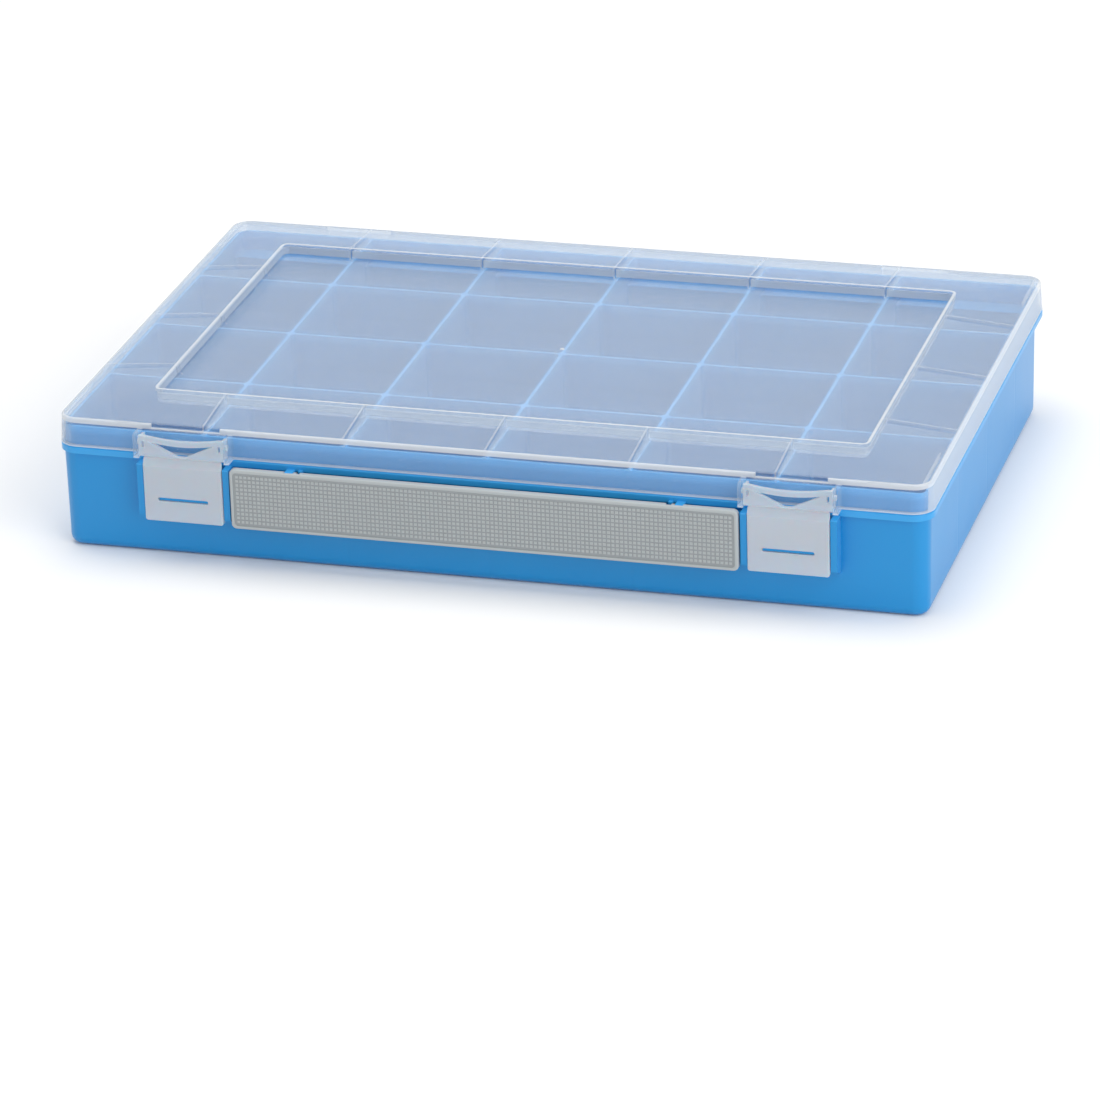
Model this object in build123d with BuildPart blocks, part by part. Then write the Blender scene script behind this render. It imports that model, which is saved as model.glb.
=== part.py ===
"""Compartment storage box: a divided tray with a hinged translucent lid.

Two film-hinge latches hold the lid shut at the front, and a carry handle
folds out between them. X runs along the front, -Y is the front, +Z is up.
The origin lies on the floor, under the middle of the rim.
All sizes are in millimetres.
"""
import os
from build123d import *

# Rim: the outline that the lid skirt and the tray flange share
rim_width = 335.0
rim_depth = 218.0
rim_corner_radius = 8.0
flange_top = 41.1
flange_thickness = 2.5
flange_chamfer = 0.5

# Tray body
wall_thickness = 1.9
wall_draft_angle = 0.55
wall_corner_radius = 6.0
back_step = 11.0
floor_thickness = 1.7
base_edge_radius = 3.6
collar_thickness = 1.2

# Compartments
column_count = 6
row_count = 4
column_pitch = 54.7
row_pitch = 53.7
divider_thickness = 1.2
pocket_draft_angle = 0.35
pocket_corner_radius = 2.0
pocket_floor_radius = 1.6

# Lid
skirt_gap = 0.3
skirt_height = 11.2
skirt_flare = 0.75
skirt_wall = 1.2
lid_plate = 1.4
border_side = 29.25
border_front = 29.0
ramp_rise = 2.4
edge_radius = 0.8
ridge_band = 2.0
ridge_corner_radius = 2.6
ridge_edge_radius = 0.6
recess_depth = 4.2
recess_draft_angle = 5.0
panel_edge_radius = 0.8
collar_gap = 0.3
divider_gap = 0.5
rib_thickness = 0.9
rib_clearance = 0.2
gate_radius = 0.8
gate_height = 0.3
gate_taper_angle = 20.0

# Notch in the lid's front edge over each latch
notch_length = 27.0
notch_reach = 1.8
notch_clearance = 0.8

# Latches: a flap hangs on a film hinge below an anchor that clips into the lid
latch_inset = 51.7
latch_width = 30.6
latch_reach = 5.9
flap_thickness = 2.0
flap_length = 24.7
flap_corner_radius = 1.0
flap_edge_radius = 0.5
film_drop = 2.8
film_gap = 0.4
film_thickness = 0.3
flap_slot_length = 19.7
flap_slot_height = 1.5
flap_slot_drop = 16.0
anchor_height = 9.0
anchor_setback = 0.4
anchor_plate = 1.5
anchor_undercut = 0.9
anchor_arm_thickness = 1.1
anchor_arm_inset = 0.6
anchor_arm_gap = 0.4
anchor_side_gap = 0.1
anchor_bar_height = 2.1
anchor_bar_sag = 1.4
anchor_dip_margin = 2.0
anchor_window_margin = 3.4
anchor_window_floor = 1.2
anchor_window_point = 1.6
anchor_slit_width = 0.9
anchor_slit_height = 2.6
stud_radius = 1.1
stud_length = 0.9
stud_level = 5.6
stud_clearance = 0.05

# Lid cheeks that carry each latch anchor
cheek_thickness = 2.0
cheek_spacing = 33.4
cheek_height = 9.4
cheek_corner_radius = 1.6
cheek_setback = 0.3

# Tray catch under each latch
guard_thickness = 2.4
guard_gap = 0.3
guard_reach = 5.0
guard_bottom = 15.2
guard_foot_slope = 3.2
nose_thickness = 0.9
nose_side_gap = 0.35
nose_tip_setback = 0.6
nose_block_height = 4.4
nose_block_rise = 2.2
nose_block_gap = 0.3

# Handle
handle_end_gap = 3.3
handle_top_gap = 1.5
handle_height = 23.9
handle_reach = 6.2
handle_thickness = 2.4
handle_corner_radius = 2.0
handle_edge_radius = 0.7
handle_border = 1.3
handle_recess = 0.35
handle_lip_depth = 2.6
handle_lip_thickness = 1.6
handle_lip_inset = 28.0
pivot_inset = 22.5
pivot_drop = 2.5
pivot_setback = 3.3
pivot_pin_radius = 0.85
pivot_fit = 0.05
pivot_lug_width = 3.2
pivot_lug_radius = 2.0
pivot_ear_thickness = 1.2
pivot_ear_radius = 1.9
pivot_side_gap = 0.15
pocket_clearance = 0.25
stop_rib_width = 1.5
stop_rib_reach = 1.6
stop_rib_height = 6.0
rest_block_gap = 0.5
rest_block_skin = 1.4
rest_block_bottom = 18.0
rest_block_side_gap = 0.5

# Hinges at the back
hinge_inset = 52.5
hinge_width = 27.0
hinge_pin_radius = 1.25
hinge_pin_fit = 0.05
hinge_eye_radius = 3.0
hinge_axis_setback = 1.4
hinge_axis_drop = 0.3
hinge_ear_thickness = 2.8
hinge_ear_gusset = 7.0
hinge_side_gap = 0.3
strap_gap = 0.3
strap_top_drop = 0.6
strap_bevel = 1.0

# How far a feature is sunk into what carries it, so that the two fuse
weld = 0.2

# Heights worked out from the sizes above
flange_bottom = flange_top - flange_thickness
skirt_bottom = flange_top + skirt_gap
lid_edge_top = skirt_bottom + skirt_height
ridge_top = lid_edge_top + ramp_rise
panel_top = ridge_top - recess_depth
panel_bottom = panel_top - lid_plate
divider_top = panel_bottom - divider_gap
notch_pad_bottom = divider_top + notch_clearance
notch_floor = notch_pad_bottom + lid_plate

# Plan sizes worked out from the sizes above; each depth is from the middle
rim_front = rim_depth / 2
lid_edge_width = rim_width - 2 * skirt_flare
lid_edge_depth = rim_depth - 2 * skirt_flare
lid_edge_front = lid_edge_depth / 2
lid_edge_radius = rim_corner_radius - skirt_flare
ridge_width = lid_edge_width - 2 * border_side
ridge_depth = lid_edge_depth - 2 * border_front
recess_width = ridge_width - ridge_band
recess_length = ridge_depth - ridge_band
recess_corner_radius = ridge_corner_radius - ridge_band / 2
collar_flare = skirt_flare * (divider_top - skirt_bottom) / skirt_height
collar_inset = skirt_wall + collar_gap
collar_radius = rim_corner_radius - collar_inset
cavity_inset = collar_inset + collar_flare + collar_thickness
cavity_width = rim_width - 2 * cavity_inset
cavity_depth = rim_depth - 2 * cavity_inset
wall_inset = cavity_inset - wall_thickness
wall_front = rim_front - wall_inset
wall_root = wall_front - wall_thickness / 2
back_wall = rim_front - back_step
back_root = back_wall - wall_thickness / 2
back_cavity = back_wall - wall_thickness

# Latch places
latch_offset = rim_width / 2 - latch_inset
latch_front = rim_front + latch_reach
latch_back = latch_front - flap_thickness
hinge_line = skirt_bottom
flap_top = hinge_line - film_gap / 2
flap_bottom = flap_top - flap_length
flap_slot_level = hinge_line - flap_slot_drop
anchor_front = latch_front - anchor_setback
anchor_bottom = hinge_line + film_gap / 2
anchor_top = skirt_bottom + anchor_height
anchor_width = cheek_spacing - 2 * anchor_side_gap
stud_depth = rim_front + latch_reach / 2
nose_tip = latch_front - nose_tip_setback
nose_width = flap_slot_length - 2 * nose_side_gap

# Handle places
handle_half = latch_offset - latch_width / 2 - handle_end_gap
handle_top = skirt_bottom - handle_top_gap
handle_middle = handle_top - handle_height / 2
handle_front = rim_front + handle_reach
handle_back = handle_front - handle_thickness
pivot_offset = handle_half - pivot_inset
pivot_depth = handle_front - pivot_setback
pivot_level = handle_top - pivot_drop
lug_inner = pivot_offset - pivot_lug_width / 2
lug_outer = pivot_offset + pivot_lug_width / 2
ear_space = pivot_ear_thickness + 2 * pivot_side_gap
rib_outer = lug_inner - ear_space
rib_inner = rib_outer - stop_rib_width

# Hinge places
hinge_offset = rim_width / 2 - hinge_inset
hinge_axis_depth = rim_front - hinge_axis_setback
hinge_axis_level = flange_bottom - hinge_axis_drop - hinge_eye_radius
strap_front = rim_front + strap_gap
strap_back = hinge_axis_depth + hinge_eye_radius

SIDES = {"left": -1, "right": 1}


def side_plane(x):
    """Plane square to X at x, whose own x runs along +Y and own y along +Z."""
    return Plane(origin=(x, 0, 0), x_dir=(0, 1, 0), z_dir=(1, 0, 0))


def front_plane(depth):
    """Plane facing the front at y = -depth, whose own x is +X and own y is +Z."""
    return Plane(origin=(0, -depth, 0), x_dir=(1, 0, 0), z_dir=(0, -1, 0))


def plate_between(x_a, x_b, outline):
    """Flat plate across X between two places, from an outline of (y, z) points."""
    with BuildPart() as plate:
        with BuildSketch(side_plane(min(x_a, x_b))):
            with BuildLine():
                Polyline(*outline, close=True)
            make_face()
        extrude(amount=abs(x_b - x_a))
    return plate.part


def block_between(x_a, x_b, y_low, y_high, z_low, z_high):
    """Plain block between two places along X."""
    return plate_between(x_a, x_b, [(y_low, z_low), (y_high, z_low), (y_high, z_high), (y_low, z_high)])


def rod_between(x_a, x_b, y, z, radius):
    """Round rod along X between two places, centred at (y, z)."""
    with BuildPart() as rod:
        with BuildSketch(side_plane(min(x_a, x_b))):
            with Locations((y, z)):
                Circle(radius)
        extrude(amount=abs(x_b - x_a))
    return rod.part


def eye_between(x_a, x_b, y, z, radius, foot):
    """Rounded eye along X with a foot, given as (y, z) points."""
    with BuildPart() as eye:
        with BuildSketch(side_plane(min(x_a, x_b))):
            with Locations((y, z)):
                Circle(radius)
            with BuildLine():
                Polyline(*foot, close=True)
            make_face()
        extrude(amount=abs(x_b - x_a))
    return eye.part


def divider_lines(count, pitch):
    """Middle lines of the dividers between count compartments."""
    return [(k - count / 2) * pitch for k in range(1, count)]


def compartment_spans(count, pitch, half_size):
    """Free spans between two end walls and the dividers between them."""
    half = divider_thickness / 2
    middles = divider_lines(count, pitch)
    starts = [-half_size] + [m + half for m in middles]
    ends = [m - half for m in middles] + [half_size]
    return list(zip(starts, ends))


def pocket(columns, rows, bottom, bottom_radius):
    """One compartment's space, drafted and open at the divider tops."""
    x_low, x_high = columns
    y_low, y_high = rows
    with BuildPart() as space:
        with BuildSketch(Plane.XY.offset(divider_top)):
            with Locations(((x_low + x_high) / 2, (y_low + y_high) / 2)):
                RectangleRounded(x_high - x_low, y_high - y_low, pocket_corner_radius)
        extrude(amount=bottom - divider_top, taper=pocket_draft_angle)
        if bottom_radius > 0:
            lowest = space.faces().sort_by(Axis.Z)[0]
            fillet(lowest.edges(), bottom_radius)
    return space.part


def compartment_spaces():
    """Every space cut out of the tray, with the shelf over the back step."""
    columns = compartment_spans(column_count, column_pitch, cavity_width / 2)
    rows = compartment_spans(row_count, row_pitch, cavity_depth / 2)
    spaces = []
    for column in columns:
        for low, high in rows:
            lower_row = (low, min(high, back_cavity))
            spaces.append(pocket(column, lower_row, floor_thickness, pocket_floor_radius))
        spaces.append(pocket(column, rows[-1], flange_top, 0))
    return spaces


def latch_guards(centre):
    """Two ribs on the tray front that stand beside one closed flap."""
    guards = []
    front = rim_front + guard_reach
    top = flange_bottom + weld
    outline = [(-wall_root, guard_bottom), (-wall_root, top), (-front, top),
               (-front, guard_bottom + guard_foot_slope)]
    for edge in (-1, 1):
        face = centre + edge * (latch_width / 2 + guard_gap)
        guards.append(plate_between(face, face + edge * guard_thickness, outline))
    return guards


def latch_nose(centre):
    """Blade that fills the slot of a closed flap, on its block."""
    half = nose_width / 2
    low = flap_slot_level - nose_thickness / 2
    high = flap_slot_level + nose_thickness / 2
    block_front = latch_back - nose_block_gap
    outline = [(-wall_root, low - nose_block_height), (-block_front, low), (-nose_tip, low),
               (-nose_tip, high), (-block_front, high), (-wall_root, high + nose_block_rise)]
    return plate_between(centre - half, centre + half, outline)


def handle_lug(side):
    """Lug on the tray that one pivot of the handle turns in."""
    low = pivot_level - pivot_lug_radius
    high = pivot_level + pivot_lug_radius
    foot = [(-wall_root, low), (-pivot_depth, low), (-pivot_depth, high), (-wall_root, high)]
    lug = eye_between(side * lug_inner, side * lug_outer, -pivot_depth, pivot_level, pivot_lug_radius, foot)
    bore = rod_between(side * lug_inner, side * lug_outer, -pivot_depth, pivot_level,
                       pivot_pin_radius + pivot_fit)
    return lug - bore


def stop_rib(side):
    """Short rib beside one handle lug."""
    top = pivot_level + pivot_lug_radius
    return block_between(side * rib_inner, side * rib_outer, -rim_front - stop_rib_reach, -wall_root,
                         top - stop_rib_height, top)


def rest_block(side):
    """Open-bottomed box that one end of the folded handle lies against."""
    inner = lug_outer + ear_space + rest_block_side_gap
    outer = latch_offset - latch_width / 2 - guard_gap
    face = handle_back - rest_block_gap
    top = pivot_level
    skin = block_between(side * inner, side * outer, -face, rest_block_skin - face, rest_block_bottom, top)
    wall = block_between(side * inner, side * (inner + rest_block_skin), -face, -wall_root,
                         rest_block_bottom, top)
    cap = block_between(side * inner, side * outer, -face, -wall_root, top - rest_block_skin, top)
    return [skin, wall, cap]


def hinge_ears(side):
    """Two ears that hold one hinge pin at its ends."""
    ears = []
    low = hinge_axis_level - hinge_eye_radius
    top = flange_bottom + weld
    foot = [(back_root, low - hinge_ear_gusset), (hinge_axis_depth, low), (hinge_axis_depth, top),
            (back_root, top)]
    for edge in (-1, 1):
        face = side * hinge_offset + edge * (hinge_width / 2 + hinge_side_gap)
        far = face + edge * hinge_ear_thickness
        ear = eye_between(face, far, hinge_axis_depth, hinge_axis_level, hinge_eye_radius, foot)
        ears.append(ear - rod_between(face, far, hinge_axis_depth, hinge_axis_level, hinge_pin_radius))
    return ears


def tray_bosses():
    """Everything that stands proud of the tray walls, one solid each."""
    bosses = []
    for side in SIDES.values():
        centre = side * latch_offset
        bosses += latch_guards(centre) + [latch_nose(centre)]
        bosses += [handle_lug(side), stop_rib(side)] + rest_block(side)
        bosses += hinge_ears(side)
    return bosses


def tray_shell():
    """Outer form of the tray: drafted body, flange and the collar above it."""
    body_width = rim_width - 2 * wall_inset
    body_top = flange_bottom + flange_thickness / 2
    with BuildPart() as shell:
        with BuildSketch(Plane.XY.offset(body_top)):
            with Locations((0, (back_wall - wall_front) / 2)):
                RectangleRounded(body_width, wall_front + back_wall, wall_corner_radius)
        extrude(amount=-body_top, taper=wall_draft_angle)
        base = shell.faces().sort_by(Axis.Z)[0]
        fillet(base.edges(), base_edge_radius)
        with BuildSketch(Plane.XY.offset(flange_bottom)):
            RectangleRounded(rim_width, rim_depth, rim_corner_radius)
        extrude(amount=flange_thickness)
        upper = shell.faces().filter_by(Axis.Z).sort_by(Axis.Z)[-1]
        chamfer(upper.outer_wire().edges(), flange_chamfer)
        with BuildSketch(Plane.XY.offset(flange_top)):
            RectangleRounded(rim_width - 2 * collar_inset, rim_depth - 2 * collar_inset, collar_radius)
        with BuildSketch(Plane.XY.offset(divider_top)):
            RectangleRounded(cavity_width + 2 * collar_thickness, cavity_depth + 2 * collar_thickness,
                             collar_radius - collar_flare)
        loft(ruled=True)
    return shell.part


def make_tray():
    """The one-piece divided tray."""
    shell = tray_shell()
    bosses = tray_bosses()
    spaces = compartment_spaces()
    with BuildPart() as tray:
        add(shell)
        for boss in bosses:
            add(boss)
        for space in spaces:
            add(space, mode=Mode.SUBTRACT)
    return tray.part


def shell_between(levels):
    """Ruled solid through rounded rectangles of (z, width, depth, radius)."""
    with BuildPart() as solid:
        for level, width, depth, radius in levels:
            with BuildSketch(Plane.XY.offset(level)):
                RectangleRounded(width, depth, radius)
        loft(ruled=True)
    return solid.part


def edges_at(solid, level):
    """Edges of a solid that lie flat at one height."""
    return solid.edges().filter_by_position(Axis.Z, level - weld / 2, level + weld / 2)


def lid_envelope():
    """Outer form of the lid, solid inside: skirt below, hipped border above."""
    edge = (lid_edge_top, lid_edge_width, lid_edge_depth, lid_edge_radius)
    skirt = shell_between([(skirt_bottom, rim_width, rim_depth, rim_corner_radius), edge])
    border = shell_between([edge, (ridge_top, ridge_width + ridge_band, ridge_depth + ridge_band,
                                   ridge_corner_radius + ridge_band / 2)])
    solid = skirt + border
    return solid.fillet(edge_radius, edges_at(solid, lid_edge_top))


def lid_hollow():
    """Space under the skirt and the border of the lid."""
    inside = 2 * skirt_wall
    edge = (lid_edge_top - lid_plate, lid_edge_width - inside, lid_edge_depth - inside,
            lid_edge_radius - skirt_wall)
    skirt = shell_between([(skirt_bottom, rim_width - inside, rim_depth - inside,
                            rim_corner_radius - skirt_wall), edge])
    border = shell_between([edge, (ridge_top - lid_plate, ridge_width + ridge_band, ridge_depth + ridge_band,
                                   ridge_corner_radius + ridge_band / 2)])
    return skirt + border


def recess_tub(margin, height):
    """Drafted block under the recess outline, wider by a margin all round and down by height."""
    with BuildPart() as tub:
        with BuildSketch(Plane.XY.offset(ridge_top)):
            RectangleRounded(recess_width + 2 * margin, recess_length + 2 * margin,
                             recess_corner_radius + margin)
        extrude(amount=-height, taper=recess_draft_angle)
    return tub.part


def recess_opening(envelope):
    """The envelope less its recess, with the rim and the foot of the recess rounded."""
    dished = envelope - recess_tub(0, recess_depth)
    rim = [e for e in edges_at(dished, ridge_top) if abs(e.center().X) < recess_width / 2 + weld
           and abs(e.center().Y) < recess_length / 2 + weld]
    dished = dished.fillet(ridge_edge_radius, rim)
    return dished.fillet(panel_edge_radius, edges_at(dished, panel_top))


def lid_ribs():
    """Wedge ribs under the border, in line with every divider."""
    ribs = []
    half = rib_thickness / 2
    low = divider_top + rib_clearance
    under_edge = lid_edge_top - lid_plate / 2
    under_ridge = ridge_top - lid_plate / 2

    def wedge(ridge, skirt):
        """Outline of a rib between the ridge and the skirt."""
        return [(ridge, low), (skirt, low), (skirt, under_edge), (ridge, under_ridge)]

    for end in (-1, 1):
        outline = wedge(end * ridge_depth / 2, end * (lid_edge_depth - skirt_wall) / 2)
        for middle in divider_lines(column_count, column_pitch):
            ribs.append(plate_between(middle - half, middle + half, outline))
        outline = wedge(end * ridge_width / 2, end * (lid_edge_width - skirt_wall) / 2)
        for middle in divider_lines(row_count, row_pitch):
            with BuildPart() as rib:
                with BuildSketch(Plane.XZ.offset(-middle - half)):
                    with BuildLine():
                        Polyline(*outline, close=True)
                    make_face()
                extrude(amount=rib_thickness)
            ribs.append(rib.part)
    return ribs


def catch_cheeks(side):
    """Two cheeks on the lid skirt that hold one latch anchor."""
    cheeks = []
    root = lid_edge_front - skirt_wall / 2
    front = anchor_front + cheek_setback
    top = skirt_bottom + cheek_height
    for edge in (-1, 1):
        face = side * latch_offset + edge * cheek_spacing / 2
        cheek = block_between(face, face + edge * cheek_thickness, -front, -root, skirt_bottom, top)
        crown = cheek.edges().filter_by(Axis.X).group_by(Axis.Z)[-1].sort_by(Axis.Y)[0]
        cheek = cheek.fillet(cheek_corner_radius, [crown])
        socket_end = face + edge * (stud_length + stud_clearance)
        cheeks.append(cheek - rod_between(face, socket_end, -stud_depth, skirt_bottom + stud_level,
                                          stud_radius + stud_clearance))
    return cheeks


def hinge_strap(side):
    """Strap down the back of the lid that ends in the hinge eye."""
    low = side * hinge_offset - hinge_width / 2
    high = side * hinge_offset + hinge_width / 2
    top = lid_edge_top - strap_top_drop
    root = lid_edge_front - skirt_wall / 2
    foot = [(root, skirt_bottom), (strap_front, skirt_bottom), (strap_front, hinge_axis_level),
            (strap_back, hinge_axis_level), (strap_back, top - strap_bevel), (strap_back - strap_bevel, top),
            (root, top)]
    strap = eye_between(low, high, hinge_axis_depth, hinge_axis_level, hinge_eye_radius, foot)
    return strap - rod_between(low, high, hinge_axis_depth, hinge_axis_level,
                               hinge_pin_radius + hinge_pin_fit)


def notch_pad(side):
    """Thicker place under the lid's front edge, below one notch."""
    half = notch_length / 2 + lid_plate
    inner = lid_edge_front - notch_reach - lid_plate
    return block_between(side * latch_offset - half, side * latch_offset + half, -lid_edge_front + weld,
                         -inner, notch_pad_bottom, lid_edge_top - lid_plate / 2)


def notch_cut(side):
    """Notch in the lid's front edge over one latch."""
    half = notch_length / 2
    return block_between(side * latch_offset - half, side * latch_offset + half, -rim_front,
                         notch_reach - lid_edge_front, notch_floor, ridge_top)


def make_lid():
    """The one-piece translucent lid."""
    envelope = recess_opening(lid_envelope())
    hollow = lid_hollow() - recess_tub(lid_plate, recess_depth + lid_plate)
    additions = [rib & envelope for rib in lid_ribs()]
    fittings = []
    for side in SIDES.values():
        additions.append(notch_pad(side))
        fittings += catch_cheeks(side) + [hinge_strap(side)]
    with BuildPart() as lid:
        add(envelope)
        add(hollow, mode=Mode.SUBTRACT)
        for addition in additions:
            add(addition)
        for side in SIDES.values():
            add(notch_cut(side), mode=Mode.SUBTRACT)
        for fitting in fittings:
            add(fitting)
        with BuildSketch(Plane.XY.offset(panel_top)):
            Circle(gate_radius)
        extrude(amount=gate_height, taper=gate_taper_angle)
    return lid.part


def make_flap(side):
    """Swinging half of a latch, below the film hinge."""
    centre = side * latch_offset
    half = latch_width / 2
    outline = [(-latch_back, flap_top), (-latch_back - film_thickness, flap_top),
               (-latch_front, flap_top - film_drop), (-latch_front, flap_bottom), (-latch_back, flap_bottom)]
    with BuildPart() as flap:
        add(plate_between(centre - half, centre + half, outline))
        corners = flap.edges().filter_by(Axis.Y).group_by(Axis.Z)[0]
        fillet(corners, flap_corner_radius)
        front_face = flap.faces().filter_by(Axis.Y).sort_by(Axis.Y)[0]
        fillet(front_face.edges().sort_by(Axis.Z)[:-1], flap_edge_radius)
        with BuildSketch(front_plane(latch_back)):
            with Locations((centre, flap_slot_level)):
                SlotOverall(flap_slot_length, flap_slot_height)
        extrude(amount=flap_thickness, mode=Mode.SUBTRACT)
    return flap.part


def anchor_face(centre):
    """Front view of an anchor: dipped top edge, V-shaped window and two slits."""
    half = anchor_width / 2
    dip = half - anchor_dip_margin
    window = half - anchor_window_margin
    bar_low = anchor_top - anchor_bar_height
    point_level = anchor_bottom + anchor_window_floor
    point = anchor_window_point
    with BuildSketch(front_plane(anchor_front - anchor_plate)) as face:
        with Locations((centre, (anchor_bottom + anchor_top) / 2)):
            Rectangle(anchor_width, anchor_top - anchor_bottom)
        with BuildLine():
            ThreePointArc((centre - dip, anchor_top), (centre, anchor_top - anchor_bar_sag),
                          (centre + dip, anchor_top))
            Line((centre + dip, anchor_top), (centre - dip, anchor_top))
        make_face(mode=Mode.SUBTRACT)
        with BuildLine():
            ThreePointArc((centre - window, bar_low), (centre, bar_low - anchor_bar_sag),
                          (centre + window, bar_low))
            Polyline((centre + window, bar_low), (centre + point, point_level),
                     (centre - point, point_level), (centre - window, bar_low))
        make_face(mode=Mode.SUBTRACT)
        slit_offset = half - anchor_window_margin / 2
        with Locations((centre - slit_offset, bar_low - anchor_slit_height / 2),
                       (centre + slit_offset, bar_low - anchor_slit_height / 2)):
            Rectangle(anchor_slit_width, anchor_slit_height, mode=Mode.SUBTRACT)
    return face.sketch


def anchor_arm(face, edge):
    """Arm behind one end of an anchor, with the stud that clips into a cheek."""
    top = anchor_top - anchor_arm_inset
    back = rim_front + anchor_arm_gap
    outline = [(weld - anchor_front, anchor_bottom + anchor_undercut), (weld - anchor_front, top),
               (-back, top), (-back, anchor_bottom + anchor_undercut)]
    arm = plate_between(face, face - edge * anchor_arm_thickness, outline)
    stud_end = face + edge * (stud_length + anchor_side_gap)
    return arm + rod_between(face - edge * weld, stud_end, -stud_depth, skirt_bottom + stud_level, stud_radius)


def make_anchor(side):
    """Fixed half of a latch, clipped between two cheeks of the lid."""
    centre = side * latch_offset
    half = anchor_width / 2
    face = anchor_face(centre)
    arms = [anchor_arm(centre + edge * half, edge) for edge in (-1, 1)]
    undercut = plate_between(centre - half, centre + half, [
        (-anchor_front, anchor_bottom), (-latch_back - film_thickness, anchor_bottom),
        (-anchor_front, anchor_bottom + anchor_undercut)])
    with BuildPart() as anchor:
        extrude(face, amount=anchor_plate)
        add(undercut, mode=Mode.SUBTRACT)
        for arm in arms:
            add(arm)
    return anchor.part


def handle_plate():
    """Plate of the handle, with its raised border and the grip lip behind."""
    with BuildPart() as plate:
        with BuildSketch(front_plane(handle_back)):
            with Locations((0, handle_middle)):
                RectangleRounded(2 * handle_half, handle_height, handle_corner_radius)
        extrude(amount=handle_thickness)
        front_face = plate.faces().filter_by(Axis.Y).sort_by(Axis.Y)[0]
        fillet(front_face.edges(), handle_edge_radius)
        with BuildSketch(front_plane(handle_front - handle_recess)):
            with Locations((0, handle_middle)):
                RectangleRounded(2 * (handle_half - handle_border), handle_height - 2 * handle_border,
                                 handle_corner_radius - handle_border / 2)
        extrude(amount=handle_recess, mode=Mode.SUBTRACT)
        lip_half = handle_half - handle_lip_inset
        bottom = handle_top - handle_height
        add(block_between(-lip_half, lip_half, -handle_back - weld, handle_lip_depth - handle_back,
                          bottom, bottom + handle_lip_thickness))
    return plate.part


def pivot_pocket(side):
    """Room behind the handle's front skin for one lug and its stop rib."""
    skin = pivot_depth + pivot_lug_radius + pocket_clearance
    low = pivot_level - pivot_lug_radius - pocket_clearance
    return block_between(side * (rib_inner - pivot_side_gap), side * (lug_outer + pivot_side_gap),
                         -skin, -handle_back, low, handle_top)


def pivot_ears(side):
    """Two ears that hold one moulded pivot pin of the handle, and the pin."""
    skin = pivot_depth + pivot_lug_radius + pocket_clearance + weld
    low = pivot_level - pivot_ear_radius
    high = pivot_level + pivot_ear_radius
    foot = [(-pivot_depth, low), (-pivot_depth, high), (-skin, high), (-skin, low)]
    solids = []
    for near, far in ((lug_inner - pivot_side_gap, -pivot_ear_thickness),
                      (lug_outer + pivot_side_gap, pivot_ear_thickness)):
        solids.append(eye_between(side * near, side * (near + far), -pivot_depth, pivot_level,
                                  pivot_ear_radius, foot))
    solids.append(rod_between(side * (lug_inner - pivot_side_gap - weld), side * (lug_outer + pivot_side_gap + weld),
                              -pivot_depth, pivot_level, pivot_pin_radius))
    return solids


def make_handle():
    """Carry handle that lies flat on the front and folds out."""
    plate = handle_plate()
    pockets = [pivot_pocket(side) for side in SIDES.values()]
    ears = [solid for side in SIDES.values() for solid in pivot_ears(side)]
    with BuildPart() as handle:
        add(plate)
        for room in pockets:
            add(room, mode=Mode.SUBTRACT)
        for ear in ears:
            add(ear)
    return handle.part


def make_hinge_pin(side):
    """Steel pin of one hinge, held at its ends in the tray's ears."""
    reach = hinge_width / 2 + hinge_side_gap + hinge_ear_thickness
    middle = side * hinge_offset
    return rod_between(middle - reach, middle + reach, hinge_axis_depth, hinge_axis_level, hinge_pin_radius)


def make_pieces():
    """All pieces of the box by name."""
    pieces = {"tray": make_tray(), "lid": make_lid(), "handle": make_handle()}
    for word, side in SIDES.items():
        pieces[f"latch_anchor_{word}"] = make_anchor(side)
        pieces[f"latch_flap_{word}"] = make_flap(side)
        pieces[f"hinge_pin_{word}"] = make_hinge_pin(side)
    return pieces


os.makedirs("parts", exist_ok=True)
for name, piece in make_pieces().items():
    piece.label = name
    export_step(piece, f"parts/{name}.step")
    print(name, "volume", round(piece.volume, 1), "valid", piece.is_valid)
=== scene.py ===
"""Looks of the compartment storage box.

The divided tray, the translucent lid, the two latches and the carry handle are
the fixed frame. This script dresses them, adds the handle's grip pattern and
the latches' film hinges, and sets up the studio.
Lengths are in metres; a constant named MM turns millimetres to metres.
"""
import logging
import math
from dataclasses import dataclass
from enum import Enum
from typing import Any, Dict, List, Optional, Tuple

import bmesh
import bpy
from mathutils import Matrix, Vector

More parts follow.
